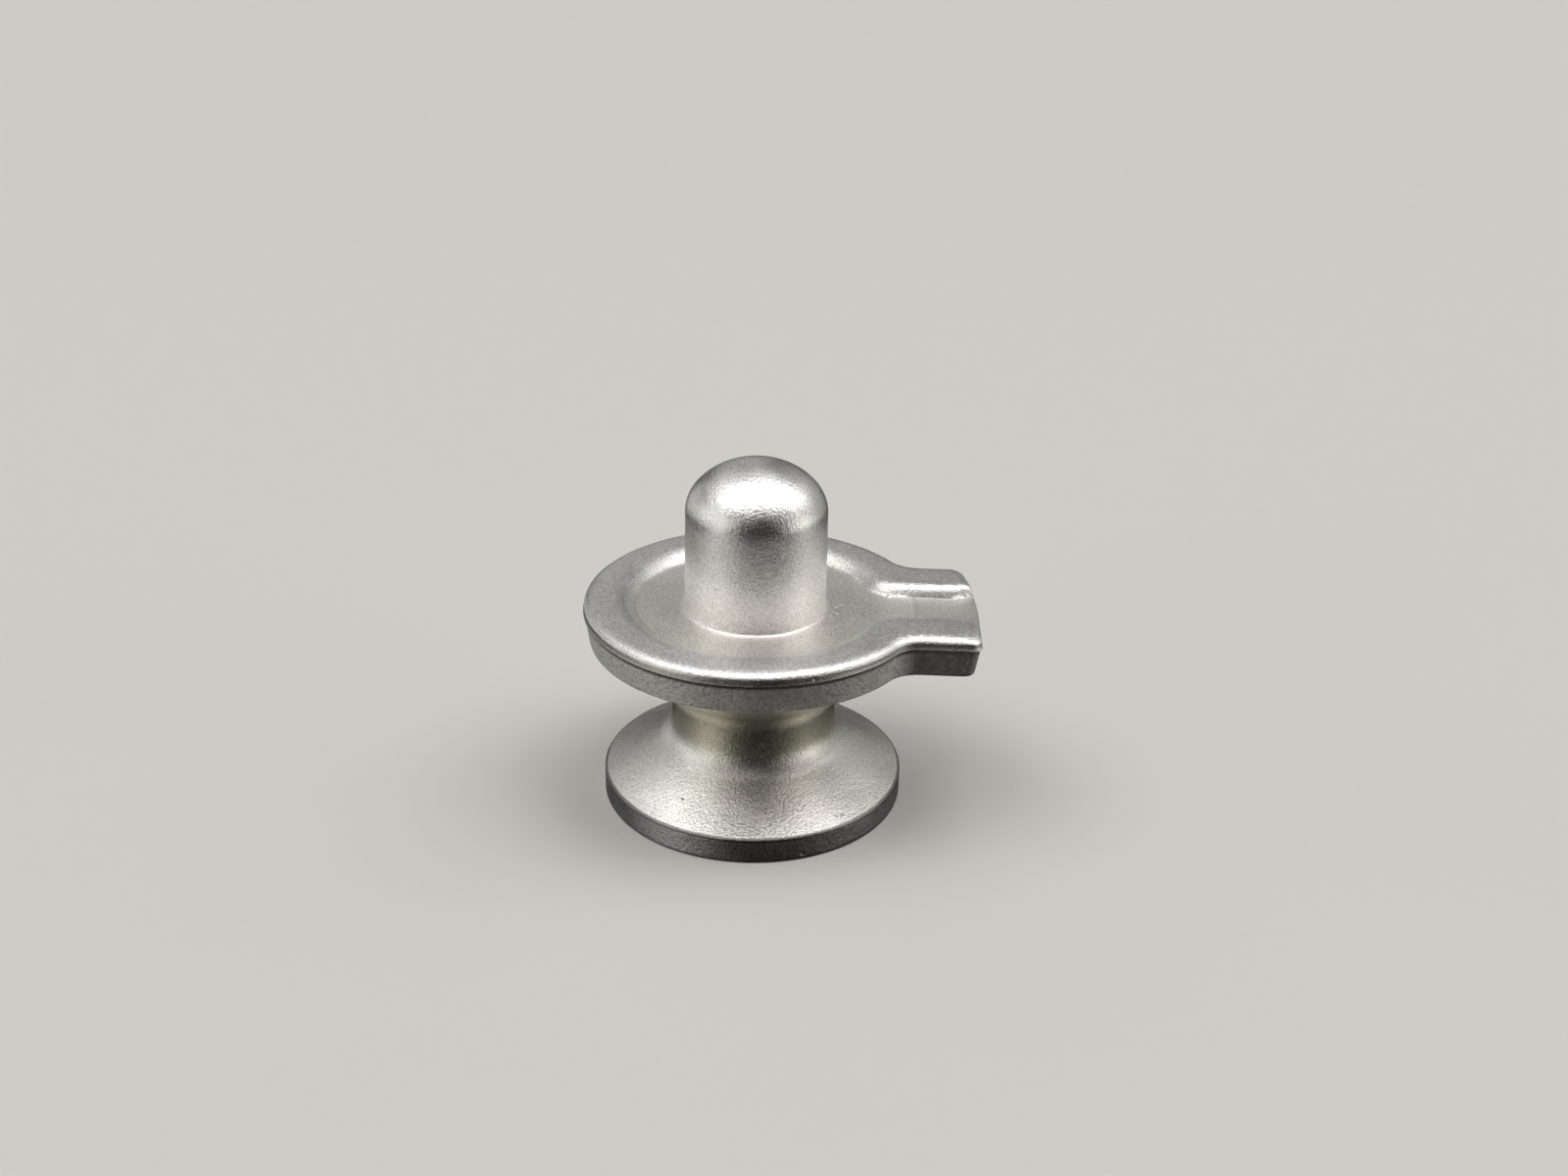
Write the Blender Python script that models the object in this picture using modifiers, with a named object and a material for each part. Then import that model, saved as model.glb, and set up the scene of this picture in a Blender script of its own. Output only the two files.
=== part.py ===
"""Small cast metal shiva lingam: turned foot and waist, round basin plate with a spout, domed shaft."""
import math

import bmesh
import bpy

# All sizes are in millimetres until MM turns them into metres.
MM = 0.001

# Foot: flat underside, upright band, shallow hollow cone and a narrow waist.
FOOT_RADIUS = 18.5
FOOT_BAND_HEIGHT = 3.25
FOOT_BOTTOM_CHAMFER = 0.25
FOOT_TOP_ROUND = 0.4
CONE_EDGE_SLOPE = 25.0
CONE_TOP_SLOPE = 34.0
WAIST_RADIUS = 10.1
WAIST_LENGTH = 2.23
LOWER_SWEEP_RADIUS = 4.1

# Flare that carries the plate.
FLARE_SLOPE = 35.0
UPPER_SWEEP_RADIUS = 3.7
UNDER_LEDGE = 0.1

# Plate: tapering band, overhanging round rim, sunk basin.
PLATE_RADIUS = 20.65
BAND_HEIGHT = 3.75
BAND_TAPER = 0.65
BAND_EDGE_ROUND = 0.35
RIM_OVERHANG = 0.15
RIM_ROUND_WIDTH = 2.35
RIM_ROUND_HEIGHT = 1.5
BASIN_RADIUS = 14.6
BASIN_DEPTH = 1.35
BASIN_ROUND_WIDTH = 2.7

# Spout: the rim runs out along both sides of a level channel, open at the mouth.
SPOUT_REACH = 27.0
SPOUT_WIDTH = 20.4
SPOUT_ROOT_RADIUS = 3.7
SPOUT_CORNER_RADIUS = 1.2
SPOUT_CREST_CORNER_RADIUS = 2.4
CHANNEL_WIDTH = 6.9
CHANNEL_ROOT_RADIUS = 3.7

# Shaft with its domed top.
SHAFT_BASE_RADIUS = 8.55
SHAFT_TOP_RADIUS = 8.45
SHAFT_HEIGHT = 12.4
SHAFT_FOOT_ROUND = 0.55
DOME_HEIGHT = 6.2
DOME_SIDE_FULLNESS = 1.83
DOME_CROWN_FULLNESS = 1.91

# Fineness of the facets.
TURNED_STEPS = 64
DISC_STEPS = 32
ROUND_STEPS = 5
SWEEP_STEPS = 7
DOME_STEPS = 10
FILLET_STEPS = 6
CORNER_STEPS = 4

# How far one shape runs into its neighbour before the two are joined, and a cutter past the metal.
JOIN_DEPTH = 1.0
CUT_MARGIN = 3.0

CAST_METAL_COLOUR = (0.76, 0.755, 0.73, 1.0)
CAST_METAL_ROUGHNESS = 0.36
SMOOTH_ANGLE = 32.0


def lerp(start, end, share):
    """Value part of the way from start to end."""
    return start + (end - start) * share


def arc_by_slope(start, first_slope, last_slope, radius, steps):
    """Points after start on a circular arc whose slope turns from one angle to the other while it
    runs inwards and upwards."""
    points = []
    for index in range(1, steps + 1):
        slope = math.radians(lerp(first_slope, last_slope, index / steps))
        first = math.radians(first_slope)
        across = radius * (math.sin(slope) - math.sin(first))
        up = radius * (math.cos(first) - math.cos(slope))
        points.append((start[0] - across, start[1] + up))
    return points


def foot_profile():
    """Outline of foot, waist and flare from the bottom of the axis upwards, with the flare's top."""
    points = [(0.0, 0.0)]
    points.append((FOOT_RADIUS - FOOT_BOTTOM_CHAMFER, 0.0))
    points.append((FOOT_RADIUS, FOOT_BOTTOM_CHAMFER))
    round_base = FOOT_BAND_HEIGHT - FOOT_TOP_ROUND
    edge_turn = 90.0 - CONE_EDGE_SLOPE
    for index in range(ROUND_STEPS):
        turn = math.radians(lerp(0.0, edge_turn, index / (ROUND_STEPS - 1)))
        across = FOOT_TOP_ROUND * (1.0 - math.cos(turn))
        points.append((FOOT_RADIUS - across, round_base + FOOT_TOP_ROUND * math.sin(turn)))
    sweep_start = WAIST_RADIUS + LOWER_SWEEP_RADIUS * (1.0 - math.sin(math.radians(CONE_TOP_SLOPE)))
    turn_share = math.sin(math.radians(CONE_TOP_SLOPE)) - math.sin(math.radians(CONE_EDGE_SLOPE))
    cone_radius = (points[-1][0] - sweep_start) / turn_share
    points += arc_by_slope(points[-1], CONE_EDGE_SLOPE, CONE_TOP_SLOPE, cone_radius, ROUND_STEPS)
    points += arc_by_slope(points[-1], CONE_TOP_SLOPE, 90.0, LOWER_SWEEP_RADIUS, SWEEP_STEPS)
    points.append((WAIST_RADIUS, points[-1][1] + WAIST_LENGTH))
    waist_top = points[-1][1]
    for index in range(1, SWEEP_STEPS + 1):
        slope = math.radians(lerp(90.0, FLARE_SLOPE, index / SWEEP_STEPS))
        across = UPPER_SWEEP_RADIUS * (1.0 - math.sin(slope))
        points.append((WAIST_RADIUS + across, waist_top + UPPER_SWEEP_RADIUS * math.cos(slope)))
    flare_radius = PLATE_RADIUS - BAND_TAPER - BAND_EDGE_ROUND - UNDER_LEDGE
    rise = (flare_radius - points[-1][0]) * math.tan(math.radians(FLARE_SLOPE))
    points.append((flare_radius, points[-1][1] + rise))
    return points


def shaft_profile(floor_height):
    """Outline of the shaft from the crown down to just under the basin floor."""
    shaft_top = floor_height + SHAFT_HEIGHT
    points = []
    for index in range(DOME_STEPS + 1):
        turn = math.radians(90.0 * (1.0 - index / DOME_STEPS))
        across = max(math.cos(turn), 0.0) ** (2.0 / DOME_SIDE_FULLNESS)
        up = math.sin(turn) ** (2.0 / DOME_CROWN_FULLNESS)
        points.append((SHAFT_TOP_RADIUS * across, shaft_top + DOME_HEIGHT * up))
    points[0] = (0.0, shaft_top + DOME_HEIGHT)
    for index in range(ROUND_STEPS):
        turn = math.radians(90.0 * index / (ROUND_STEPS - 1))
        across = SHAFT_FOOT_ROUND * (1.0 - math.cos(turn))
        up = SHAFT_FOOT_ROUND * (1.0 - math.sin(turn))
        points.append((SHAFT_BASE_RADIUS + across, floor_height + up))
    points.append((points[-1][0], floor_height - JOIN_DEPTH))
    points.append((0.0, floor_height - JOIN_DEPTH))
    return points


def keyhole_outline(radius, half_width, reach, root_radius, corner_radius):
    """Closed plan outline of a disc with a straight tongue along +X, as points in order."""
    centre_x = math.sqrt((radius + root_radius) ** 2 - (half_width + root_radius) ** 2)
    root_turn = math.atan2(half_width + root_radius, centre_x)
    half = []
    corner_x = reach - corner_radius
    corner_y = half_width - corner_radius
    half.append((reach, 0.0))
    for index in range(CORNER_STEPS + 1):
        turn = math.radians(90.0 * index / CORNER_STEPS)
        half.append((corner_x + corner_radius * math.cos(turn), corner_y + corner_radius * math.sin(turn)))
    half.append((lerp(corner_x, centre_x, 0.5), half_width))
    for index in range(FILLET_STEPS + 1):
        turn = lerp(-math.pi / 2, root_turn - math.pi, index / FILLET_STEPS)
        x = centre_x + root_radius * math.cos(turn)
        half.append((x, half_width + root_radius + root_radius * math.sin(turn)))
    for index in range(1, DISC_STEPS + 1):
        turn = lerp(root_turn, math.pi, index / DISC_STEPS)
        half.append((radius * math.cos(turn), radius * math.sin(turn)))
    mirrored = [(x, -y) for x, y in half[1:-1]]
    return half + mirrored[::-1]


def plate_ring(inset, corner_radius):
    """Plan outline of plate and spout, set in from the widest line all round."""
    radius = PLATE_RADIUS - inset
    half_width = SPOUT_WIDTH / 2 - inset
    return keyhole_outline(radius, half_width, SPOUT_REACH - inset, SPOUT_ROOT_RADIUS + inset, corner_radius)


def basin_ring(outset):
    """Plan outline of basin and channel, set out from the edge of the floor all round."""
    reach = SPOUT_REACH + CUT_MARGIN
    root_radius = CHANNEL_ROOT_RADIUS - outset
    return keyhole_outline(BASIN_RADIUS + outset, CHANNEL_WIDTH / 2 + outset, reach, root_radius, CUT_MARGIN / 2)


def new_object(name, mesh, collection):
    """Object that holds a mesh, linked to a collection."""
    made = bpy.data.objects.new(name, mesh)
    collection.objects.link(made)
    return made


def loft(name, rings, collection):
    """Closed body through rings of plan points at rising heights, flat at both ends."""
    shape = bmesh.new()
    rows = []
    for outline, height in rings:
        rows.append([shape.verts.new((x * MM, y * MM, height * MM)) for x, y in outline])
    count = len(rows[0])
    for lower, upper in zip(rows, rows[1:]):
        for index in range(count):
            after = (index + 1) % count
            shape.faces.new((lower[index], lower[after], upper[after], upper[index]))
    shape.faces.new(rows[0][::-1])
    shape.faces.new(rows[-1])
    bmesh.ops.recalc_face_normals(shape, faces=shape.faces)
    mesh = bpy.data.meshes.new(name)
    shape.to_mesh(mesh)
    shape.free()
    return new_object(name, mesh, collection)


def turned(name, profile, collection):
    """Body of revolution about Z from a profile that starts and ends on the axis."""
    mesh = bpy.data.meshes.new(name + "_profile")
    points = [(radius * MM, 0.0, height * MM) for radius, height in profile]
    edges = [(index, index + 1) for index in range(len(points) - 1)]
    mesh.from_pydata(points, edges, [])
    made = new_object(name, mesh, collection)
    screw = made.modifiers.new("turn", "SCREW")
    screw.axis = "Z"
    screw.angle = 2 * math.pi
    screw.steps = TURNED_STEPS
    screw.render_steps = TURNED_STEPS
    screw.use_merge_vertices = True
    screw.merge_threshold = 0.000001
    screw.use_smooth_shade = False
    bake(made)
    shape = bmesh.new()
    shape.from_mesh(made.data)
    bmesh.ops.recalc_face_normals(shape, faces=shape.faces)
    shape.to_mesh(made.data)
    shape.free()
    return made


def bake(made):
    """Put the result of an object's modifiers into its mesh."""
    graph = bpy.context.evaluated_depsgraph_get()
    mesh = bpy.data.meshes.new_from_object(made.evaluated_get(graph))
    made.modifiers.clear()
    made.data = mesh


def combine(target, other, operation):
    """Join another body to the target, or cut it out of the target."""
    boolean = target.modifiers.new("combine", "BOOLEAN")
    boolean.operation = operation
    boolean.solver = "EXACT"
    boolean.object = other
    bake(target)


def cast_metal():
    """Pale cast metal with a soft frosted shine."""
    material = bpy.data.materials.new("cast_metal")
    material.use_nodes = True
    shader = material.node_tree.nodes["Principled BSDF"]
    shader.inputs["Base Color"].default_value = CAST_METAL_COLOUR
    shader.inputs["Metallic"].default_value = 1.0
    shader.inputs["Roughness"].default_value = CAST_METAL_ROUGHNESS
    return material


def plate_rings(bottom):
    """Rings of the plate from its underside up to the crest of the rim."""
    widest = bottom + BAND_HEIGHT
    rings = []
    for index in range(ROUND_STEPS - 1):
        turn = math.radians(90.0 * index / (ROUND_STEPS - 2))
        inset = BAND_TAPER + BAND_EDGE_ROUND * (1.0 - math.sin(turn))
        height = bottom + BAND_EDGE_ROUND * (1.0 - math.cos(turn))
        rings.append((plate_ring(inset, SPOUT_CORNER_RADIUS), height))
    rings.append((plate_ring(RIM_OVERHANG, SPOUT_CORNER_RADIUS), widest - RIM_OVERHANG))
    for index in range(ROUND_STEPS + 1):
        turn = math.radians(90.0 * index / ROUND_STEPS)
        inset = RIM_ROUND_WIDTH * (1.0 - math.cos(turn))
        corner = lerp(SPOUT_CORNER_RADIUS, SPOUT_CREST_CORNER_RADIUS, inset / RIM_ROUND_WIDTH)
        rings.append((plate_ring(inset, corner), widest + RIM_ROUND_HEIGHT * math.sin(turn)))
    return rings


def basin_rings(floor_height):
    """Rings of the basin cutter from the floor up past the crest of the rim."""
    rings = []
    for index in range(ROUND_STEPS + 1):
        turn = math.radians(90.0 * index / ROUND_STEPS)
        outset = BASIN_ROUND_WIDTH * (1.0 - math.cos(turn))
        rings.append((outset, floor_height + BASIN_DEPTH * math.sin(turn)))
    # The last facet carries on past the crest, so the cut crosses the top of the rim cleanly.
    last = rings.pop()
    before = rings[-1]
    beyond = (lerp(before[0], last[0], 1.5), lerp(before[1], last[1], 1.5))
    rings.append(beyond)
    rings.append((beyond[0], beyond[1] + CUT_MARGIN))
    return [(basin_ring(outset), height) for outset, height in rings]


def main():
    for old in list(bpy.data.objects):
        bpy.data.objects.remove(old)
    parts = bpy.data.collections.new("shiva_lingam")
    bpy.context.scene.collection.children.link(parts)
    cutters = bpy.data.collections.new("cutters")
    bpy.context.scene.collection.children.link(cutters)

    lower = foot_profile()
    bottom = lower[-1][1]
    lower.append((lower[-1][0], bottom + JOIN_DEPTH))
    lower.append((0.0, bottom + JOIN_DEPTH))
    crest = bottom + BAND_HEIGHT + RIM_ROUND_HEIGHT
    floor_height = crest - BASIN_DEPTH

    casting = loft("shiva_lingam", plate_rings(bottom), parts)
    basin = loft("basin_cutter", basin_rings(floor_height), cutters)
    combine(casting, basin, "DIFFERENCE")
    foot = turned("foot_tool", lower[::-1], cutters)
    combine(casting, foot, "UNION")
    shaft = turned("shaft_tool", shaft_profile(floor_height), cutters)
    combine(casting, shaft, "UNION")
    for tool in (basin, foot, shaft):
        tool.hide_render = True
        tool.display_type = "WIRE"

    casting.data.materials.clear()
    casting.data.materials.append(cast_metal())
    for face in casting.data.polygons:
        face.material_index = 0
    casting.data.shade_smooth()
    casting.data.set_sharp_from_angle(angle=math.radians(SMOOTH_ANGLE))


main()
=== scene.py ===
"""Looks of the shiva lingam: a finely meshed casting in frosted silver-white metal on a pale floor."""

import math

import bmesh
import bpy
import numpy as np
from mathutils import Matrix, Vector, geometry, noise


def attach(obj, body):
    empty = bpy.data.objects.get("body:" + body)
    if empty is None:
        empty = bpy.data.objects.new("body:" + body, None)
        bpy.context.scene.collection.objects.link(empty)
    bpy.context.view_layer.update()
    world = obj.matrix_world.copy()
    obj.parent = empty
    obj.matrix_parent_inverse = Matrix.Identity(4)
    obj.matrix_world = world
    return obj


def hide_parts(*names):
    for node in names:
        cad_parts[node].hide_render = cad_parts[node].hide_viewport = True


# Sizes are in millimetres until MM turns them into metres. They repeat the CAD part's.
MM = 0.001
NODE = "shiva_lingam"

FOOT_RADIUS = 18.5
FOOT_BAND_HEIGHT = 3.25
FOOT_BOTTOM_ROUND = 0.25
FOOT_TOP_ROUND = 0.4
CONE_EDGE_SLOPE = 25.0
CONE_TOP_SLOPE = 34.0
WAIST_RADIUS = 10.1
WAIST_LENGTH = 2.23
LOWER_SWEEP_RADIUS = 4.1
FLARE_SLOPE = 35.0
UPPER_SWEEP_RADIUS = 3.7
UNDER_LEDGE = 0.1

PLATE_RADIUS = 20.645
BAND_HEIGHT = 3.75
BAND_TAPER = 0.65
BAND_EDGE_ROUND = 0.35
RIM_OVERHANG = 0.2
GROOVE_HEIGHT = 0.36
GROOVE_DEPTH = 0.42
RIM_ROUND_WIDTH = 2.35
RIM_ROUND_HEIGHT = 1.5
RIM_FULLNESS = 2.8
RIM_LIP = 0.12
RIM_LIP_HEIGHT = 0.3
BASIN_RADIUS = 14.6
BASIN_DEPTH = 1.35
BASIN_SIDE_WIDTH = 3.6
BASIN_SIDE_FULLNESS = 3.2
CHANNEL_SIDE_WIDTH = 2.3
CHANNEL_SIDE_FULLNESS = 4.0
CHANNEL_START = 12.0
CHANNEL_FULL = 20.0
BASIN_FILLET = 0.35
CHANNEL_FILLET = 0.05
CREST_CROWN = 0.05
CREST_BLEND = 0.06
LEAST_CREST_WIDTH = 0.001

SPOUT_REACH = 27.0
SPOUT_WIDTH = 20.4
SPOUT_ROOT_RADIUS = 3.7
SPOUT_CORNER_RADIUS = 1.2
SPOUT_CREST_CORNER_RADIUS = 2.4
CHANNEL_WIDTH = 6.9
CHANNEL_ROOT_RADIUS = 3.7

# Hand-finished mouth: it falls back on its far side, and the walls' ends flare outwards.
MOUTH_START = 18.0
MOUTH_TURN = -4.0
MOUTH_SETBACK = 1.9
MOUTH_POWER = 3
MOUTH_ALONG_POWER = 1.5
FLARE_START = 23.0
FLARE_POWER = 2.2
NEAR_FLARE = 2.4
FAR_FLARE = 1.0
CAST_WAVE = 0.03
CAST_WAVE_LENGTH = 3.5
CAST_WAVE_SEED = 3

SHAFT_BASE_RADIUS = 8.54
SHAFT_TOP_RADIUS = 8.44
SHAFT_HEIGHT = 12.39
SHAFT_OFFSET = 0.09
SHAFT_FOOT_ROUND = 0.55
DOME_HEIGHT = 6.2
DOME_SIDE_FULLNESS = 1.83
DOME_CROWN_FULLNESS = 1.91

# Mesh fineness of the turned parts.
LOWER_COLUMNS = 300
SHAFT_COLUMNS = 220
UNDERSIDE_STEPS = 6
FOOT_ROUND_STEPS = 3
FOOT_BAND_STEPS = 7
FOOT_EDGE_STEPS = 6
CONE_STEPS = 18
LOWER_SWEEP_STEPS = 14
WAIST_STEPS = 5
UPPER_SWEEP_STEPS = 12
FLARE_STEPS = 14
SHAFT_FOOT_STEPS = 7
SHAFT_STEPS = 30
DOME_STEPS = 29
DOME_LAST_TURN = 88.5

# Mesh fineness of the plate.
END_STEPS = 30
CORNER_STEPS = 8
SIDE_STEPS = 14
ROOT_STEPS = 12
DISC_STEPS = 170
BAND_EDGE_STEPS = 6
BAND_STEPS = 10
GROOVE_RINGS = ((0.35, 0.1), (0.8, 0.25), (1.0, 0.5), (0.8, 0.75), (0.3, 0.92))
RIM_STEPS = 18
RIM_STEP_CROWDING = 1.25
LEAST_RIM_SHARE = 0.3
LINE_OUTSETS = (0.0, 0.16, 0.4, 0.75, 1.2, 1.75, 2.3)
LINE_OVERRUN = 4.0
LINE_CORNER_RADIUS = 0.5
LINE_END_MARGIN = 0.15
TOP_SPACING = 0.36
TOP_EDGE_MARGIN = 0.18
TOP_LINE_MARGIN = 0.144
TOP_SHAFT_MARGIN = 0.15
UNDER_SPACING = 1.2
UNDER_EDGE_MARGIN = 0.3
UNDER_FLARE_MARGIN = 0.4
ROW_SHARE = math.sqrt(0.75)
HOLE_SHARE = 0.99
MERGE_DISTANCE = 0.00001
SHARP_ANGLE = 50.0

# Viewpoint of the photograph, round the foot's centre, as another program fitted it.
VIEW_HEIGHT = 121.389
VIEW_DISTANCE = 196.736
VIEW_PITCH = 25.604
VIEW_YAW = 1.02
VIEW_ROLL = 1.2
VIEW_TURN = 2.86
LENS = 41.609
SENSOR_WIDTH = 36.0
NEAREST_VIEW = 10.0

# Studio: a floor whose size is in metres, and surroundings of the colour that the lit floor has.
FLOOR_SIZE = 6.0
FLOOR_COLOUR = (0.62, 0.62, 0.62, 1.0)
FLOOR_ROUGHNESS = 0.9
BACKGROUND_COLOUR = (0.6, 0.59, 0.565, 1.0)

# Metal of each part of the casting: colour and roughness. The colours differ from part to part partly in
# the metal's own tone and partly as painted light and shade: the neck's darker, warmer colour and the foot
# band's darker colour are painted shade. The colours began as results of the program that solved for the
# lights, and were then changed.
METALS_WITH_PAINTED_SHADE = {
    "dome": ((0.91, 0.93, 0.97, 1.0), 0.33),
    "shaft": ((0.83, 0.82, 0.81, 1.0), 0.47),
    "basin": ((0.84, 0.83, 0.805, 1.0), 0.42),
    "channel": ((0.75, 0.75, 0.74, 1.0), 0.48),
    "rim": ((0.8, 0.81, 0.84, 1.0), 0.4),
    "band": ((0.98, 0.98, 0.98, 1.0), 0.64),
    "spout band": ((0.98, 0.98, 0.98, 1.0), 0.5),
    "cone": ((0.89, 0.89, 0.89, 1.0), 0.38),
    # Painted shade: the neck under the plate gets a darker, warmer colour, and the foot band a darker one.
    "neck": ((0.67, 0.65, 0.55, 1.0), 0.38),
    "foot band": ((0.6, 0.59, 0.63, 1.0), 0.41),
}
DULL_METAL = (0.5, 0.49, 0.47, 1.0)
DULL_SHARE = 0.2

# Where the metal of one part changes into the next: radii, heights, or distances along the spout.
PLATE_EDGE_RADII = (19.0, 19.6)
SHAFT_EDGE_RADII = (9.3, 8.9)
NECK_HEIGHTS = (7.5, 11.0)
CHANNEL_REACH = (13.5, 18.0)
SPOUT_SIDE_REACH = (18.0, 20.0)

# Grain of the cast surface: sizes, detail, and heights of the relief.
GRAIN_SIZE = 0.28
COARSE_SIZE = 0.5
CLOUD_SIZE = 3.2
GRAIN_DETAIL = 2.0
GRAIN_ROUGHNESS = 0.65
CLOUD_DETAIL = 3.0
CLOUD_ROUGHNESS = 0.6
GRAIN_RELIEF = 0.065
COARSE_RELIEF = 0.02
BAND_RELIEF = 0.055
CLOUD_RELIEF = 0.03

# How much of its lightness the metal keeps where shade is painted: in the groove under the rim, on the rim
# bead's lower edge, along the foot's top edge and in the pits.
CREASE_SHADE_LIGHT = 0.45
SPOUT_CREASE_SHADE_SHARE = 0.5
LIP_SHADE_LIGHT = 0.5
SPOUT_LIP_SHADE_SHARE = 0.3
FOOT_EDGE_SHADE_LIGHT = 0.3
PIT_SHADE_LIGHT = 0.62

# Small flaws of the casting: place, size, and height above or depth below the surface. Another program
# worked out most of the places from where the flaws show in the photograph.
FLAWS = (
    ((-7.62, -12.73, 4.93), 0.28, -0.12),
    ((11.39, -12.87, 3.67), 0.5, -0.03),
    ((12.1, -12.0, 3.6), 0.3, -0.03),
    ((10.7, -13.3, 3.75), 0.26, -0.03),
    ((12.6, -12.3, 3.4), 0.3, -0.03),
    ((-4.1, -7.39, 30.3), 0.2, -0.06),
    ((-4.36, -7.17, 36.17), 0.18, -0.05),
    ((-3.9, -7.5, 35.7), 0.14, -0.05),
    ((5.84, -8.3, 24.87), 0.28, -0.1),
    ((6.91, -17.15, 0.75), 0.3, -0.1),
    ((7.71, -18.99, 25.18), 0.3, -0.1),
    ((3.5, -19.7, 21.1), 0.2, -0.1),
    ((3.9, -19.64, 21.35), 0.2, -0.1),
    ((4.31, -19.58, 21.62), 0.22, -0.1),
    ((4.65, -19.56, 22.0), 0.2, -0.1),
    ((4.95, -19.55, 22.38), 0.18, -0.08),
    ((7.39, -4.33, 31.31), 0.16, -0.05),
    ((7.42, -4.3, 30.6), 0.14, -0.05),
    ((7.45, -4.28, 29.9), 0.15, -0.05),
    ((9.3, -2.1, 24.88), 0.5, 0.09),
    ((9.85, -1.2, 24.88), 0.7, 0.12),
    ((9.8, 0.3, 24.88), 0.55, 0.09),
    ((10.5, 1.1, 24.88), 0.6, 0.08),
    ((16.25, 3.37, 24.95), 0.4, 0.12),
    ((17.45, 3.45, 24.95), 0.34, 0.1),
    ((13.1, -1.5, 24.88), 0.2, -0.06),
    ((13.6, -2.1, 24.88), 0.18, -0.06),
    ((14.1, -2.8, 24.88), 0.18, -0.06),
)

# Soft distant lights: rise above the floor, turn, strength and colour. Another program solved for all
# these rows from the brightness of the photograph. They were not set by hand.
LIGHT_SPREAD = 34.0
LIGHTS = (
    (60, 278, 0.83, (1.0, 0.99, 0.93)),
    (60, 81, 0.58, (1.0, 0.93, 0.87)),
    (77, 108, 0.56, (0.97, 0.99, 1.0)),
    (40, 108, 0.46, (1.0, 0.98, 0.91)),
    (60, 343, 0.29, (1.0, 0.89, 0.81)),
    (0, 90, 0.27, (1.0, 1.0, 0.89)),
    (0, 310, 0.2, (1.0, 0.95, 0.82)),
    (90, 180, 0.2, (1.0, 0.97, 0.81)),
    (0, 70, 0.19, (1.0, 0.95, 0.87)),
    (20, 270, 0.18, (1.0, 0.95, 0.81)),
    (-22, 300, 0.17, (1.0, 0.98, 0.91)),
    (20, 310, 0.17, (1.0, 0.97, 0.85)),
    (0, 270, 0.16, (1.0, 0.99, 0.95)),
    (0, 230, 0.16, (1.0, 0.98, 0.9)),
    (40, 228, 0.15, (1.0, 0.97, 0.92)),
    (20, 70, 0.14, (1.0, 0.92, 0.82)),
    (77, 324, 0.12, (0.92, 0.79, 1.0)),
    (60, 180, 0.11, (1.0, 0.94, 0.86)),
    (0, 130, 0.1, (1.0, 0.96, 0.86)),
    (20, 290, 0.1, (0.93, 0.96, 1.0)),
    (20, 190, 0.1, (1.0, 0.98, 0.88)),
    (20, 150, 0.09, (1.0, 0.97, 0.88)),
)


def lerp(start, end, share):
    """Value part of the way from start to end."""
    return start + (end - start) * share


def arc_by_slope(start, first_slope, last_slope, radius, steps):
    """Points after start on an arc that runs inwards and upwards while its slope turns."""
    points = []
    first = math.radians(first_slope)
    for index in range(1, steps + 1):
        slope = math.radians(lerp(first_slope, last_slope, index / steps))
        across = radius * (math.sin(slope) - math.sin(first))
        points.append((start[0] - across, start[1] + radius * (math.cos(first) - math.cos(slope))))
    return points


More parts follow.
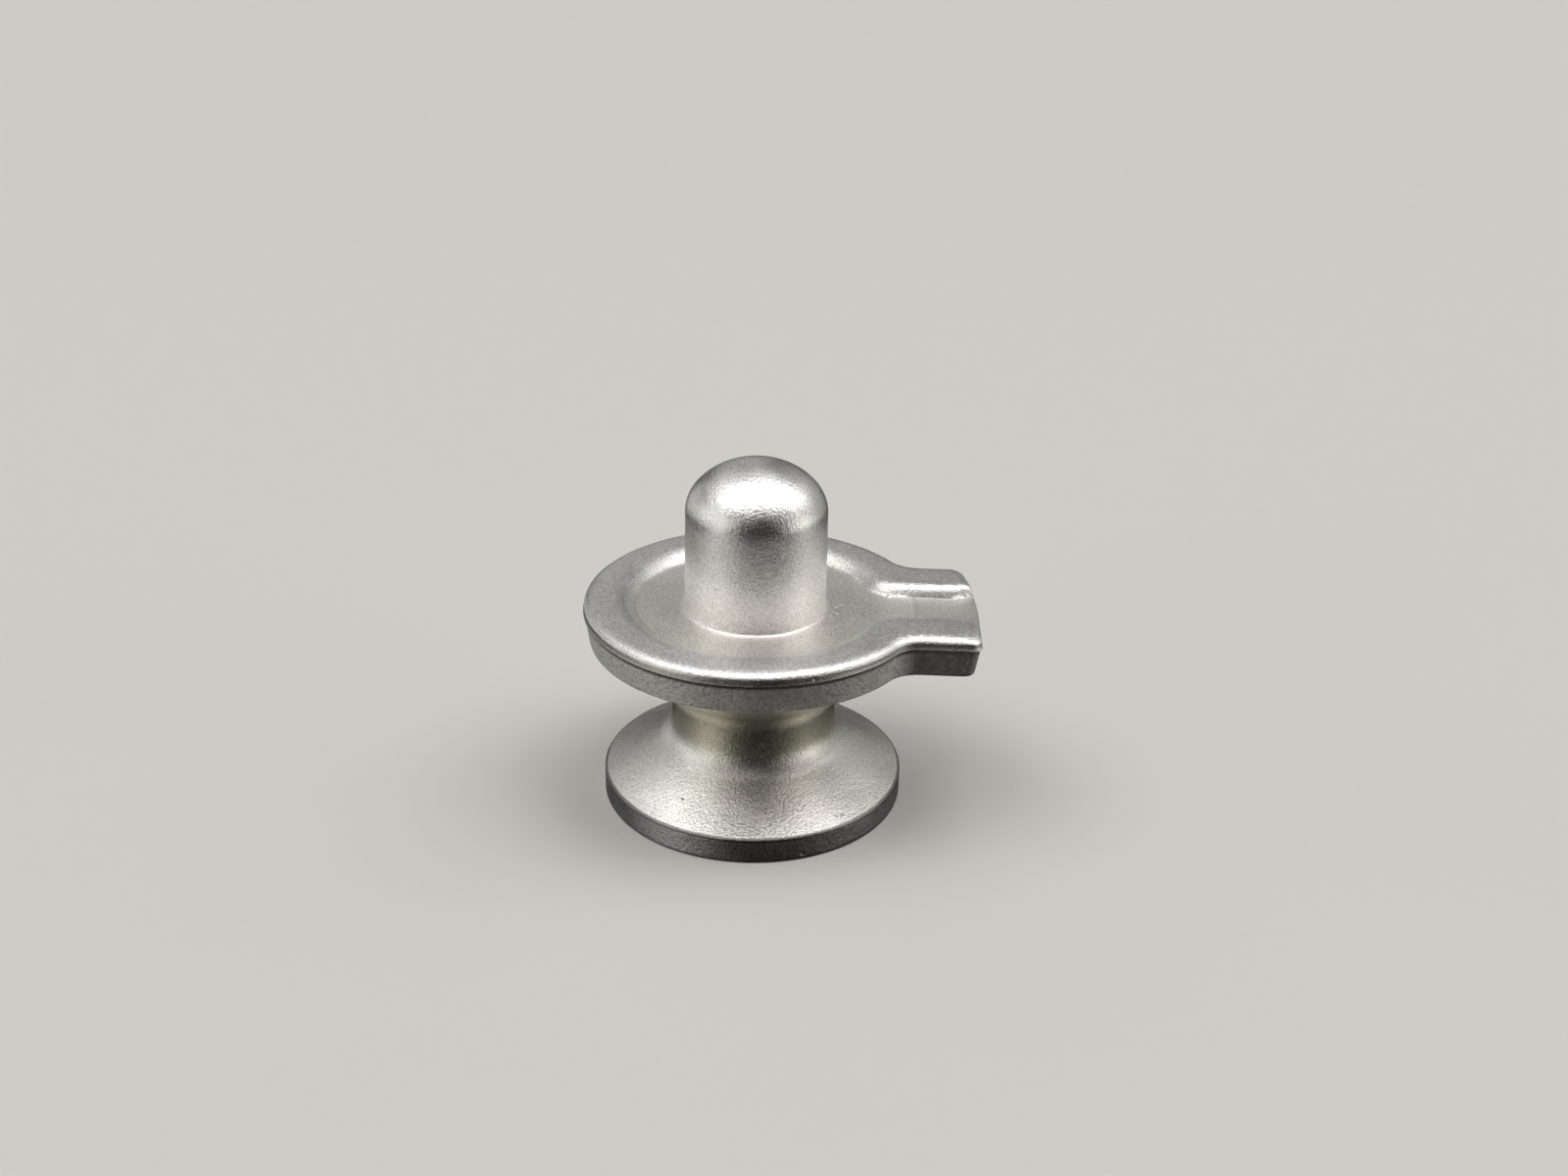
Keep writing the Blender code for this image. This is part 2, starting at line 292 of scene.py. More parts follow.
def foot_profile():
    """Radius and height along foot, waist and flare, from the underside's edge up to the plate."""
    points = []
    for index in range(1, UNDERSIDE_STEPS):
        radius = (FOOT_RADIUS - FOOT_BOTTOM_ROUND) * index / UNDERSIDE_STEPS
        points.append((radius, 0.0))
    for index in range(FOOT_ROUND_STEPS + 1):
        turn = math.radians(90.0 * index / FOOT_ROUND_STEPS)
        across = FOOT_BOTTOM_ROUND * (1.0 - math.sin(turn))
        points.append((FOOT_RADIUS - across, FOOT_BOTTOM_ROUND * (1.0 - math.cos(turn))))
    round_base = FOOT_BAND_HEIGHT - FOOT_TOP_ROUND
    for index in range(1, FOOT_BAND_STEPS):
        points.append((FOOT_RADIUS, lerp(FOOT_BOTTOM_ROUND, round_base, index / FOOT_BAND_STEPS)))
    for index in range(FOOT_EDGE_STEPS + 1):
        turn = math.radians((90.0 - CONE_EDGE_SLOPE) * index / FOOT_EDGE_STEPS)
        across = FOOT_TOP_ROUND * (1.0 - math.cos(turn))
        points.append((FOOT_RADIUS - across, round_base + FOOT_TOP_ROUND * math.sin(turn)))
    top_sine = math.sin(math.radians(CONE_TOP_SLOPE))
    edge_sine = math.sin(math.radians(CONE_EDGE_SLOPE))
    sweep_start = WAIST_RADIUS + LOWER_SWEEP_RADIUS * (1.0 - top_sine)
    cone_radius = (points[-1][0] - sweep_start) / (top_sine - edge_sine)
    points += arc_by_slope(points[-1], CONE_EDGE_SLOPE, CONE_TOP_SLOPE, cone_radius, CONE_STEPS)
    points += arc_by_slope(points[-1], CONE_TOP_SLOPE, 90.0, LOWER_SWEEP_RADIUS, LOWER_SWEEP_STEPS)
    for _ in range(WAIST_STEPS):
        points.append((WAIST_RADIUS, points[-1][1] + WAIST_LENGTH / WAIST_STEPS))
    waist_top = points[-1][1]
    for index in range(1, UPPER_SWEEP_STEPS + 1):
        slope = math.radians(lerp(90.0, FLARE_SLOPE, index / UPPER_SWEEP_STEPS))
        across = UPPER_SWEEP_RADIUS * (1.0 - math.sin(slope))
        points.append((WAIST_RADIUS + across, waist_top + UPPER_SWEEP_RADIUS * math.cos(slope)))
    flare_radius = PLATE_RADIUS - BAND_TAPER - BAND_EDGE_ROUND - UNDER_LEDGE
    start = points[-1]
    rise = (flare_radius - start[0]) * math.tan(math.radians(FLARE_SLOPE))
    for index in range(1, FLARE_STEPS + 1):
        share = index / FLARE_STEPS
        points.append((lerp(start[0], flare_radius, share), start[1] + rise * share))
    return points


FOOT = foot_profile()
PLATE_BOTTOM = FOOT[-1][1]
WIDEST = PLATE_BOTTOM + BAND_HEIGHT
CREST = WIDEST + RIM_ROUND_HEIGHT
BASIN_FLOOR = CREST - BASIN_DEPTH
DOME_BASE = BASIN_FLOOR + SHAFT_HEIGHT


def shaft_profile():
    """Radius and height from the fillet at the basin floor up the shaft and over its dome."""
    points = []
    for index in range(SHAFT_FOOT_STEPS + 1):
        turn = math.radians(90.0 * index / SHAFT_FOOT_STEPS)
        across = SHAFT_FOOT_ROUND * (1.0 - math.sin(turn))
        points.append((SHAFT_BASE_RADIUS + across, BASIN_FLOOR + SHAFT_FOOT_ROUND * (1.0 - math.cos(turn))))
    foot_top = BASIN_FLOOR + SHAFT_FOOT_ROUND
    for index in range(1, SHAFT_STEPS):
        share = index / SHAFT_STEPS
        points.append((lerp(SHAFT_BASE_RADIUS, SHAFT_TOP_RADIUS, share), lerp(foot_top, DOME_BASE, share)))
    for index in range(DOME_STEPS + 1):
        turn = math.radians(DOME_LAST_TURN * index / DOME_STEPS)
        across = math.cos(turn) ** (2.0 / DOME_SIDE_FULLNESS)
        up = math.sin(turn) ** (2.0 / DOME_CROWN_FULLNESS)
        points.append((SHAFT_TOP_RADIUS * across, DOME_BASE + DOME_HEIGHT * up))
    return points


def keyhole_outline(radius, half_width, reach, root_radius, corner_radius):
    """Closed plan outline of a disc with a straight tongue along +X, as points in order."""
    centre_x = math.sqrt((radius + root_radius) ** 2 - (half_width + root_radius) ** 2)
    root_turn = math.atan2(half_width + root_radius, centre_x)
    corner_x = reach - corner_radius
    corner_y = half_width - corner_radius
    half = [(reach, corner_y * index / END_STEPS) for index in range(END_STEPS)]
    for index in range(CORNER_STEPS + 1):
        turn = math.radians(90.0 * index / CORNER_STEPS)
        half.append((corner_x + corner_radius * math.cos(turn), corner_y + corner_radius * math.sin(turn)))
    for index in range(1, SIDE_STEPS):
        half.append((lerp(corner_x, centre_x, index / SIDE_STEPS), half_width))
    for index in range(ROOT_STEPS + 1):
        turn = lerp(-math.pi / 2, root_turn - math.pi, index / ROOT_STEPS)
        height = half_width + root_radius + root_radius * math.sin(turn)
        half.append((centre_x + root_radius * math.cos(turn), height))
    for index in range(1, DISC_STEPS + 1):
        turn = lerp(root_turn, math.pi, index / DISC_STEPS)
        half.append((radius * math.cos(turn), radius * math.sin(turn)))
    mirrored = [(x, -y) for x, y in half[1:-1]]
    return half + mirrored[::-1]


def plate_outline(inset, corner_radius):
    """Plan outline of plate and spout, set in from the widest line all round."""
    half_width = SPOUT_WIDTH / 2 - inset
    root_radius = SPOUT_ROOT_RADIUS + inset
    reach = SPOUT_REACH - inset
    return keyhole_outline(PLATE_RADIUS - inset, half_width, reach, root_radius, corner_radius)


def keyhole_distance(x, y, radius, half_width, root_radius):
    """Signed distance in plan from the edge of a disc with an endless tongue, above zero outside it."""
    y = np.abs(y)
    centre_y = half_width + root_radius
    centre_x = math.sqrt((radius + root_radius) ** 2 - centre_y ** 2)
    off_x = x - centre_x
    off_y = y - centre_y
    in_root = (off_x < 0) & (centre_x * off_y - centre_y * off_x < 0)
    outside = np.where(off_x >= 0, y - half_width, np.hypot(x, y) - radius)
    return np.where(in_root, root_radius - np.hypot(off_x, off_y), outside)


def smooth_max(first, second, blend):
    """Larger of two heights with a soft change from one to the other."""
    return 0.5 * (first + second + np.sqrt((first - second) ** 2 + blend ** 2))


def smooth_min(first, second, blend):
    """Smaller of two heights with a soft change from one to the other."""
    return -smooth_max(-first, -second, blend)


def mouth_setback(x, y):
    """How far a point near the mouth lies back from the square end of the spout."""
    share = max((y - MOUTH_TURN) / (SPOUT_WIDTH / 2 - MOUTH_TURN), 0.0)
    along = min(max((x - MOUTH_START) / (SPOUT_REACH - MOUTH_START), 0.0), 1.0)
    return MOUTH_SETBACK * share ** MOUTH_POWER * along ** MOUTH_ALONG_POWER


def side_width(x):
    """Width of the rim's inner side: broad round the basin, narrower along the channel."""
    share = np.clip((x - CHANNEL_START) / (CHANNEL_FULL - CHANNEL_START), 0.0, 1.0)
    return lerp(BASIN_SIDE_WIDTH, CHANNEL_SIDE_WIDTH, share), share


def basin_side_height(x, y):
    """Height of the basin floor and of the rounded inner side of rim and spout walls."""
    outwards = np.clip((x - FLARE_START) / (SPOUT_REACH - FLARE_START), 0.0, 1.0) ** FLARE_POWER
    flare = np.where(y < 0.0, NEAR_FLARE, FAR_FLARE) * outwards
    level_y = np.maximum(np.abs(y) - flare, 0.0)
    distance = keyhole_distance(x, level_y, BASIN_RADIUS, CHANNEL_WIDTH / 2, CHANNEL_ROOT_RADIUS)
    width, share = side_width(x)
    fullness = lerp(BASIN_SIDE_FULLNESS, CHANNEL_SIDE_FULLNESS, share)
    rest = np.clip(1.0 - distance / width, 0.0, 2.0)
    side = BASIN_DEPTH * (1.0 - rest ** fullness)
    blend = lerp(BASIN_FILLET, CHANNEL_FILLET, share)
    return BASIN_FLOOR + smooth_max(side, 0.0, blend) - smooth_max(BASIN_DEPTH, 0.0, blend) + BASIN_DEPTH


def crest_height(x, y):
    """Height of the gently crowned top between the outer and the inner rounding of the rim."""
    width, _ = side_width(x)
    inner = keyhole_distance(x, y, BASIN_RADIUS, CHANNEL_WIDTH / 2, CHANNEL_ROOT_RADIUS) - width
    inner = np.clip(inner, 0.0, None)
    outer = -keyhole_distance(x, y, PLATE_RADIUS, SPOUT_WIDTH / 2, SPOUT_ROOT_RADIUS)
    outer = np.clip(np.minimum(outer, SPOUT_REACH - x) - RIM_ROUND_WIDTH, 0.0, None)
    share = inner / np.maximum(inner + outer, LEAST_CREST_WIDTH)
    return CREST + CREST_CROWN * 4.0 * share * (1.0 - share)


def plate_rings():
    """Outlines and heights from the plate's lower edge up round the rim to its crest."""
    rings = []
    for index in range(BAND_EDGE_STEPS + 1):
        turn = math.radians(90.0 * index / BAND_EDGE_STEPS)
        inset = BAND_TAPER + BAND_EDGE_ROUND * (1.0 - math.sin(turn))
        height = PLATE_BOTTOM + BAND_EDGE_ROUND * (1.0 - math.cos(turn))
        rings.append((inset, SPOUT_CORNER_RADIUS, height))
    band_base = PLATE_BOTTOM + BAND_EDGE_ROUND
    band_top = WIDEST - GROOVE_HEIGHT
    for index in range(1, BAND_STEPS + 1):
        share = index / BAND_STEPS
        inset = lerp(BAND_TAPER, RIM_OVERHANG, share)
        rings.append((inset, SPOUT_CORNER_RADIUS, lerp(band_base, band_top, share)))
    for depth, share in GROOVE_RINGS:
        height = lerp(band_top, WIDEST, share)
        rings.append((GROOVE_DEPTH * depth, SPOUT_CORNER_RADIUS, height))
    for index in range(RIM_STEPS + 1):
        turn = math.radians(90.0 * (index / RIM_STEPS) ** RIM_STEP_CROWDING)
        inset = RIM_ROUND_WIDTH * (1.0 - max(math.cos(turn), 0.0) ** (2.0 / RIM_FULLNESS))
        height = RIM_ROUND_HEIGHT * math.sin(turn) ** (2.0 / RIM_FULLNESS)
        inset = max(inset, RIM_LIP * min(height / RIM_LIP_HEIGHT, 1.0))
        corner = lerp(SPOUT_CORNER_RADIUS, SPOUT_CREST_CORNER_RADIUS, inset / RIM_ROUND_WIDTH)
        rings.append((inset, corner, WIDEST + height))
    return rings


class Shell:
    """Points and faces of one closed mesh, gathered band by band."""

    def __init__(self):
        self.points = []
        self.faces = []

    def add_points(self, points):
        """Adds points and returns their numbers."""
        first = len(self.points)
        self.points.extend(points)
        return list(range(first, len(self.points)))

    def add_circle(self, radius, height, count, offset=0.0):
        """Adds a circle of points round the axis, or round a line set off from it along +X."""
        points = []
        for index in range(count):
            turn = 2 * math.pi * index / count
            points.append((offset + radius * math.cos(turn), radius * math.sin(turn), height))
        return self.add_points(points)

    def join(self, lower, upper):
        """Faces between two rings of as many points."""
        count = len(lower)
        for index in range(count):
            after = (index + 1) % count
            self.faces.append((lower[index], lower[after], upper[after], upper[index]))

    def close(self, ring, point, upwards):
        """Fan of faces from a ring to one point."""
        count = len(ring)
        for index in range(count):
            after = (index + 1) % count
            face = (ring[index], ring[after], point)
            self.faces.append(face if upwards else face[::-1])

    def fill(self, outer, inner, extra, lines, height, upwards):
        """Triangles between an outer and an inner ring through extra plan points and feature lines."""
        plan = [Vector(self.points[number][:2]) for number in outer + inner]
        edges = []
        for ring_start, ring in ((0, outer), (len(outer), inner)):
            count = len(ring)
            edges += [(ring_start + index, ring_start + (index + 1) % count) for index in range(count)]
        for line in lines:
            first = len(plan)
            plan += [Vector(point) for point in line]
            edges += [(first + index, first + index + 1) for index in range(len(line) - 1)]
        plan += [Vector(point) for point in extra]
        made, _, triangles, sources, _, _ = geometry.delaunay_2d_cdt(plan, edges, [], 0, MERGE_DISTANCE)
        numbers = []
        known = outer + inner
        for point, origins in zip(made, sources):
            borders = [known[origin] for origin in origins if origin < len(known)]
            if borders:
                numbers.append(borders[0])
            else:
                numbers.append(self.add_points([(point.x, point.y, height(point.x, point.y))])[0])
        outer_plan = np.array([self.points[number][:2] for number in outer])
        inner_radius = math.hypot(*self.points[inner[0]][:2])
        corners = np.array([[tuple(made[corner]) for corner in face] for face in triangles])
        centres = corners.mean(axis=1)
        inside = points_inside(centres, outer_plan)
        inside &= np.hypot(centres[:, 0], centres[:, 1]) > inner_radius * HOLE_SHARE
        hole = set(inner)
        for face, keep in zip(triangles, inside):
            face = tuple(numbers[corner] for corner in face)
            if keep and not hole.issuperset(face):
                self.faces.append(face if upwards else face[::-1])


def points_inside(points, outline):
    """For each plan point, whether it lies inside a closed outline."""
    inside = np.zeros(len(points), bool)
    before = outline[-1]
    for corner in outline:
        crosses = (corner[1] > points[:, 1]) != (before[1] > points[:, 1])
        if crosses.any():
            level = points[crosses, 1]
            edge_x = corner[0] + (before[0] - corner[0]) * (level - corner[1]) / (before[1] - corner[1])
            inside[np.nonzero(crosses)[0]] ^= points[crosses, 0] < edge_x
        before = corner
    return inside


def grid_points(spacing, keep):
    """Points of a triangular grid over the plate for which keep is true."""
    columns = np.arange(-PLATE_RADIUS, SPOUT_REACH + 1.0, spacing)
    rows = np.arange(-PLATE_RADIUS, PLATE_RADIUS, spacing * ROW_SHARE)
    x, y = np.meshgrid(columns, rows)
    x = x + (np.arange(len(rows)) % 2)[:, None] * spacing / 2
    x = x.ravel()
    y = y.ravel()
    mask = keep(x, y)
    return list(zip(x[mask].tolist(), y[mask].tolist()))


def basin_lines(limit_x):
    """Open plan lines along the edge of the floor and up the inner side, from mouth to mouth."""
    lines = []
    reach = SPOUT_REACH + LINE_OVERRUN
    for outset in LINE_OUTSETS:
        root_radius = CHANNEL_ROOT_RADIUS - outset
        half_width = CHANNEL_WIDTH / 2 + outset
        outline = keyhole_outline(BASIN_RADIUS + outset, half_width, reach, root_radius, LINE_CORNER_RADIUS)
        lines.append([point for point in outline if point[0] < limit_x])
    return lines


def build_shell():
    """Whole casting as one closed shell in millimetres."""
    shell = Shell()
    lower = [shell.add_circle(radius, height, LOWER_COLUMNS) for radius, height in FOOT]
    bottom_point = shell.add_points([(0.0, 0.0, 0.0)])[0]
    shell.close(lower[0], bottom_point, False)
    for below, above in zip(lower, lower[1:]):
        shell.join(below, above)

    rings = []
    for inset, corner, height in plate_rings():
        outline = plate_outline(inset, corner)
        if height > WIDEST:
            x = np.array([point[0] for point in outline])
            y = np.array([point[1] for point in outline])
            heights = smooth_min(basin_side_height(x, y), height, CREST_BLEND)
            least = LEAST_RIM_SHARE * (height - WIDEST) * (height < BASIN_FLOOR)
            heights = np.maximum(heights, WIDEST + least)
            rings.append(shell.add_points(list(zip(x.tolist(), y.tolist(), heights.tolist()))))
        else:
            rings.append(shell.add_points([(px, py, height) for px, py in outline]))
    for below, above in zip(rings, rings[1:]):
        shell.join(below, above)

    def under(x, y):
        inset = -keyhole_distance(x, y, PLATE_RADIUS, SPOUT_WIDTH / 2, SPOUT_ROOT_RADIUS)
        inset = np.minimum(inset, SPOUT_REACH - x)
        clear_of_edge = inset > BAND_TAPER + BAND_EDGE_ROUND + UNDER_EDGE_MARGIN
        return clear_of_edge & (np.hypot(x, y) > FOOT[-1][0] + UNDER_FLARE_MARGIN)

    def underside(_x, _y):
        return PLATE_BOTTOM

    shell.fill(rings[0], lower[-1], grid_points(UNDER_SPACING, under), [], underside, False)

    shaft = []
    for radius, height in shaft_profile():
        offset = SHAFT_OFFSET * min(height - BASIN_FLOOR, 1.0)
        shaft.append(shell.add_circle(radius, height, SHAFT_COLUMNS, offset))
    for below, above in zip(shaft, shaft[1:]):
        shell.join(below, above)
    top_point = shell.add_points([(SHAFT_OFFSET, 0.0, BASIN_FLOOR + SHAFT_HEIGHT + DOME_HEIGHT)])[0]
    shell.close(shaft[-1], top_point, True)

    def over(x, y):
        inset = -keyhole_distance(x, y, PLATE_RADIUS, SPOUT_WIDTH / 2, SPOUT_ROOT_RADIUS)
        inset = np.minimum(inset, SPOUT_REACH - x) - RIM_ROUND_WIDTH
        keep = inset > TOP_EDGE_MARGIN
        keep &= np.hypot(x, y) > SHAFT_BASE_RADIUS + SHAFT_FOOT_ROUND + TOP_SHAFT_MARGIN
        distance = keyhole_distance(x, y, BASIN_RADIUS, CHANNEL_WIDTH / 2, CHANNEL_ROOT_RADIUS)
        for outset in LINE_OUTSETS:
            keep &= np.abs(distance - outset) > TOP_LINE_MARGIN
        return keep

    def top(x, y):
        return float(smooth_min(basin_side_height(x, y), crest_height(x, y), CREST_BLEND))

    lines = basin_lines(SPOUT_REACH - RIM_ROUND_WIDTH - LINE_END_MARGIN)
    shell.fill(rings[-1], shaft[0], grid_points(TOP_SPACING, over), lines, top, True)
    return shell


def hand_finish(x, y, z):
    """Point of the casting with the uneven mouth and the slight waves of a cast surface."""
    if z >= PLATE_BOTTOM:
        x -= mouth_setback(x, y)
    if z > FOOT_BOTTOM_ROUND:
        wave = noise.noise_vector(Vector((x, y, z)) / CAST_WAVE_LENGTH) * CAST_WAVE
        x = min(max(x + wave.x, -PLATE_RADIUS), SPOUT_REACH)
        y = min(max(y + wave.y, -PLATE_RADIUS), PLATE_RADIUS)
        z = min(z + wave.z, DOME_BASE + DOME_HEIGHT)
    return x * MM, y * MM, z * MM


def make_casting():
    """Object with the whole casting."""
    noise.seed_set(CAST_WAVE_SEED)
    shell = build_shell()
    mesh = bpy.data.meshes.new("lingam_casting")
    mesh.from_pydata([hand_finish(*point) for point in shell.points], [], shell.faces)
    mesh.validate()
    made = bpy.data.objects.new("lingam_casting", mesh)
    bpy.context.scene.collection.objects.link(made)
    shape = bmesh.new()
    shape.from_mesh(mesh)
    loose = [edge for edge in shape.edges if len(edge.link_faces) != 2]
    print("casting", len(shape.verts), "points", len(shape.faces), "faces", len(loose), "open edges")
    bmesh.ops.recalc_face_normals(shape, faces=shape.faces)
    shape.to_mesh(mesh)
    shape.free()
    mesh.shade_smooth()
    mesh.set_sharp_from_angle(angle=math.radians(SHARP_ANGLE))
    return made


class Nodes:
    """Short way to build the node tree of one material."""

    def __init__(self, name):
        self.material = bpy.data.materials.new(name)
        self.material.use_nodes = True
        self.tree = self.material.node_tree
        self.shader = self.tree.nodes["Principled BSDF"]

    def put(self, socket, value):
        """Sets a socket to a number or a colour, or links it to another node's output."""
        if isinstance(value, bpy.types.NodeSocket):
            self.tree.links.new(value, socket)
        else:
            socket.default_value = value

    def math(self, operation, first, second=0.0):
        """One arithmetic step."""
        node = self.tree.nodes.new("ShaderNodeMath")
        node.operation = operation
        for socket, value in zip(node.inputs, (first, second)):
            self.put(socket, value)
        return node.outputs[0]

    def ramp(self, value, low, high, start=0.0, end=1.0):
        """Soft step of a value between two limits."""
        node = self.tree.nodes.new("ShaderNodeMapRange")
        node.interpolation_type = "SMOOTHSTEP"
        names = ("Value", "From Min", "From Max", "To Min", "To Max")
        for name, given in zip(names, (value, low, high, start, end)):
            self.put(node.inputs[name], given)
        return node.outputs["Result"]

    def noise(self, place, size, detail, roughness):
        """Noise with grains of about a size in millimetres."""
        node = self.tree.nodes.new("ShaderNodeTexNoise")
        self.put(node.inputs["Vector"], place)
        node.inputs["Scale"].default_value = 1.0 / size
        node.inputs["Detail"].default_value = detail
        node.inputs["Roughness"].default_value = roughness
        return node.outputs["Fac"]

    def mix(self, share, first, second):
        """Colour part of the way from one to another."""
        node = self.tree.nodes.new("ShaderNodeMix")
        node.data_type = "RGBA"
        self.put(node.inputs[0], share)
        self.put(node.inputs[6], first)
        self.put(node.inputs[7], second)
        return node.outputs[2]

    def scale(self, colour, factor):
        """Colour made lighter or darker."""
        node = self.tree.nodes.new("ShaderNodeVectorMath")
        node.operation = "SCALE"
        self.put(node.inputs[0], colour)
        self.put(node.inputs["Scale"], factor)
        return node.outputs["Vector"]

    def between(self, share, first, second):
        """Number part of the way from one to another."""
        node = self.tree.nodes.new("ShaderNodeMix")
        node.data_type = "FLOAT"
        self.put(node.inputs[0], share)
        self.put(node.inputs[2], first)
        self.put(node.inputs[3], second)
        return node.outputs[0]

    def spot(self, place, centre, radius):
        """One inside a small ball and zero outside it, with a soft edge."""
        node = self.tree.nodes.new("ShaderNodeVectorMath")
        node.operation = "DISTANCE"
        self.put(node.inputs[0], place)
        node.inputs[1].default_value = centre
        return self.ramp(node.outputs["Value"], radius, 0.0)


def metal_material():
    """Frosted silver-white cast metal, coarser on the plate's band, with painted shade: the neck darker and
    warmer, and darker colour on the foot band, its top edge, the rim's groove and bead edge, and in the
    pits.
    """
    made = Nodes("cast_metal_frosted")
    coordinates = made.tree.nodes.new("ShaderNodeTexCoord")
    scaled = made.tree.nodes.new("ShaderNodeVectorMath")
    scaled.operation = "SCALE"
    made.put(scaled.inputs[0], coordinates.outputs["Object"])
    scaled.inputs["Scale"].default_value = 1.0 / MM
    place = scaled.outputs["Vector"]
    split = made.tree.nodes.new("ShaderNodeSeparateXYZ")
    made.put(split.inputs[0], place)
    x, y, height = split.outputs
    radius = made.math("SQRT", made.math("ADD", made.math("MULTIPLY", x, x), made.math("MULTIPLY", y, y)))

    above_band = made.ramp(height, WIDEST - 0.3, WIDEST - 0.1)
    above_plate_bottom = made.ramp(height, PLATE_BOTTOM - 0.1, PLATE_BOTTOM + 0.2)
    wide = made.ramp(radius, *PLATE_EDGE_RADII)
    band = made.math("MULTIPLY", made.math("SUBTRACT", above_plate_bottom, above_band), wide)
    above_crease = made.ramp(height, WIDEST, WIDEST + 0.1)
    on_shaft = made.math("MULTIPLY", made.ramp(radius, *SHAFT_EDGE_RADII), above_crease)
    on_dome = made.ramp(height, DOME_BASE - 2.0, DOME_BASE + 1.0)
    in_basin = made.math("MULTIPLY", made.ramp(height, BASIN_FLOOR + 1.2, BASIN_FLOOR), above_band)
    in_channel = made.ramp(x, *CHANNEL_REACH)
    high = made.ramp(height, *NECK_HEIGHTS)
    foot_band = made.ramp(height, FOOT_BAND_HEIGHT - 0.1, FOOT_BAND_HEIGHT - 0.5)
    spout_side = made.math("MULTIPLY", band, made.ramp(x, *SPOUT_SIDE_REACH))

    grain = made.noise(place, GRAIN_SIZE, GRAIN_DETAIL, GRAIN_ROUGHNESS)
    coarse = made.noise(place, COARSE_SIZE, GRAIN_DETAIL, GRAIN_ROUGHNESS)
    cloud = made.noise(place, CLOUD_SIZE, CLOUD_DETAIL, CLOUD_ROUGHNESS)

    def by_place(values, blend):
        """A value for each part of the casting, blended where they meet."""
        value = blend(high, values["cone"], values["neck"])
        value = blend(foot_band, value, values["foot band"])
        value = blend(band, value, blend(spout_side, values["band"], values["spout band"]))
        value = blend(above_band, value, values["rim"])
        value = blend(in_basin, value, blend(in_channel, values["basin"], values["channel"]))
        value = blend(on_shaft, value, values["shaft"])
        return blend(on_dome, value, values["dome"])

    colour = by_place({name: metal[0] for name, metal in METALS_WITH_PAINTED_SHADE.items()}, made.mix)
    colour = made.mix(made.ramp(cloud, 0.55, 0.8, 0.0, DULL_SHARE), colour, DULL_METAL)

    rough = by_place({name: metal[1] for name, metal in METALS_WITH_PAINTED_SHADE.items()}, made.between)
    rough = made.math("ADD", rough, made.ramp(cloud, 0.3, 0.7, -0.02, 0.03))
    rough = made.math("ADD", rough, made.ramp(grain, 0.25, 0.75, -0.04, 0.04))

    # Painted shade in the pits: the colour is darkened inside each sunken flaw.
    pit_shade = 0.0
    flaws = 0.0
    for centre, size, depth in FLAWS:
        flaw = made.spot(place, centre, size)
        flaws = made.math("ADD", flaws, made.math("MULTIPLY", flaw, depth))
        if depth < 0.0:
            pit_shade = made.math("MAXIMUM", pit_shade, flaw)

    def level(lowest, low, high_end, highest):
        """One between two heights, with soft ends."""
        return made.math("MULTIPLY", made.ramp(height, lowest, low), made.ramp(height, highest, high_end))

    def along_rim(value, spout_share):
        """A value kept to the plate's edge, and only a share of it along the spout."""
        share = made.ramp(x, *SPOUT_SIDE_REACH, 1.0, spout_share)
        return made.math("MULTIPLY", made.math("MULTIPLY", value, wide), share)

    # Painted shade: a dark line in the groove under the rim's bead, weaker along the spout.
    crease_shade = along_rim(level(WIDEST - 0.5, WIDEST - 0.32, WIDEST - 0.06, WIDEST + 0.06), SPOUT_CREASE_SHADE_SHARE)
    # Painted shade: a darker band on the rim bead's lower edge, weaker along the spout.
    lip_shade = along_rim(level(WIDEST - 0.06, WIDEST + 0.02, WIDEST + 0.3, WIDEST + 0.45), SPOUT_LIP_SHADE_SHARE)
    # Painted shade: a dark line along the top edge of the foot band.
    foot_edge_shade = level(
        FOOT_BAND_HEIGHT - 0.6, FOOT_BAND_HEIGHT - 0.3, FOOT_BAND_HEIGHT - 0.06, FOOT_BAND_HEIGHT + 0.06)
    light_grain = made.ramp(grain, 0.3, 0.7, 0.82, 1.18)
    tone = made.between(band, light_grain, made.ramp(coarse, 0.3, 0.7, 0.78, 1.2))
    painted_shades = (
        (crease_shade, CREASE_SHADE_LIGHT), (lip_shade, LIP_SHADE_LIGHT), (foot_edge_shade, FOOT_EDGE_SHADE_LIGHT), (pit_shade, PIT_SHADE_LIGHT))
    for dark, light in painted_shades:
        tone = made.math("MULTIPLY", tone, made.ramp(dark, 0.0, 1.0, 1.0, light))
    colour = made.scale(colour, tone)

    coarse_relief = made.math("ADD", COARSE_RELIEF, made.math("MULTIPLY", band, BAND_RELIEF))
    relief = made.math("MULTIPLY", grain, GRAIN_RELIEF)
    relief = made.math("ADD", relief, made.math("MULTIPLY", coarse, coarse_relief))
    wavy = made.math("ADD", made.math("MULTIPLY", cloud, CLOUD_RELIEF), flaws)
    relief = made.math("ADD", relief, wavy)
    bump = made.tree.nodes.new("ShaderNodeBump")
    bump.inputs["Strength"].default_value = 1.0
    bump.inputs["Distance"].default_value = MM
    made.put(bump.inputs["Height"], relief)

    shader = made.shader
    shader.inputs["Metallic"].default_value = 1.0
    made.put(shader.inputs["Base Color"], colour)
    made.put(shader.inputs["Roughness"], rough)
    made.put(shader.inputs["Normal"], bump.outputs["Normal"])
    return made.material


